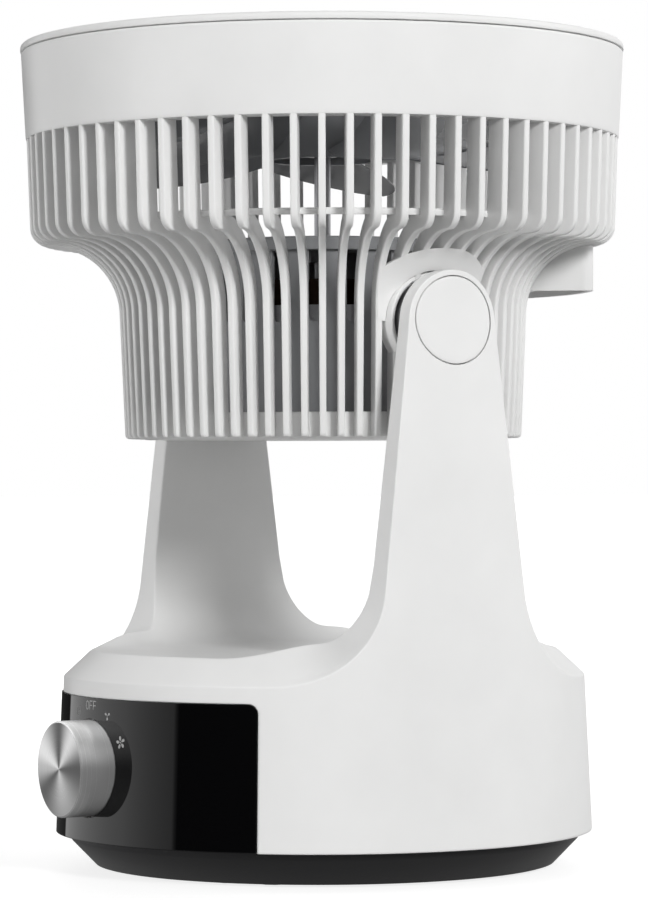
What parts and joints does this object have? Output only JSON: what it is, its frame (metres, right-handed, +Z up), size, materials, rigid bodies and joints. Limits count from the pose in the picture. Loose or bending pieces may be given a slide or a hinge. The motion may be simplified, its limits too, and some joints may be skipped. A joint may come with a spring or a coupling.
{
  "type": "air circulator fan",
  "caption": "Desk air circulator: round drum base with a control knob, two arms and a tilting slatted head with a motor-driven propeller.",
  "frame": {"origin": "on the surface the fan stands on, on the axis of the round drum base", "axes": "+Z up, the head points up at rest; -Y is the front with the control panel and knob; +X and -X run through the two pivots"},
  "size_m": [0.2814, 0.2814, 0.3809],
  "materials": {
    "white_plastic": "fine satin texture",
    "black_plastic": "satin",
    "grey_plastic": "satin",
    "panel_gloss": "high gloss",
    "knob_metal": "spun",
    "steel": "plain",
    "winding": "enamelled copper wire",
    "board_green": "solder mask",
    "rubber": "matt"
  },
  "bodies": {
    "base": {"base_pan": "black_plastic", "foot_pad_1": "rubber", "foot_pad_2": "rubber", "foot_pad_3": "rubber", "foot_pad_4": "rubber", "pan_screw_1": "steel", "pan_screw_2": "steel", "pan_screw_3": "steel", "pan_screw_4": "steel", "body_shell": "white_plastic", "saddle_cover": "white_plastic", "pivot_cap_near": "white_plastic", "pivot_cap_far": "white_plastic", "control_panel": "panel_gloss", "switch_nut": "steel", "rotary_switch": "black_plastic", "ballast_plate": "steel", "control_board": "board_green", "board_bracket": "grey_plastic", "run_capacitor": "black_plastic", "cord_gland": "rubber", "friction_washer_near": "grey_plastic", "friction_washer_far": "grey_plastic"},
    "knob": {"speed_knob": "knob_metal", "knob_core": "black_plastic", "knob_shaft": "steel"},
    "head": {"rear_grille": "white_plastic", "front_grille": "white_plastic", "carry_handle": "white_plastic", "pivot_hub_near": "grey_plastic", "pivot_hub_far": "grey_plastic", "pivot_shaft_near": "steel", "pivot_shaft_far": "steel", "pivot_nut_near": "steel", "pivot_nut_far": "steel", "motor_housing": "grey_plastic", "motor_screw_1": "steel", "motor_screw_2": "steel", "motor_screw_3": "steel", "motor_screw_4": "steel", "motor_stator": "steel", "winding_lower": "winding", "winding_upper": "winding", "bearing_lower": "steel", "bearing_upper": "steel"},
    "rotor": {"rotor_core": "steel", "motor_shaft": "steel", "propeller": "grey_plastic", "hub_nut": "black_plastic"}
  },
  "joints": [
    {"name": "head_tilt", "type": "hinge", "parent": "base", "child": "head", "pos_m": [0, 0, 0.2492], "axis": [1, 0, 0], "range_deg": [0, 90]},
    {"name": "rotor_spin", "type": "hinge", "parent": "head", "child": "rotor", "pos_m": [0, 0, 0.3], "axis": [0, 0, 1], "continuous": true},
    {"name": "knob_turn", "type": "hinge", "parent": "base", "child": "knob", "pos_m": [0, -0.13, 0.0494], "axis": [0, 1, 0], "range_deg": [-25, 63]}
  ]
}
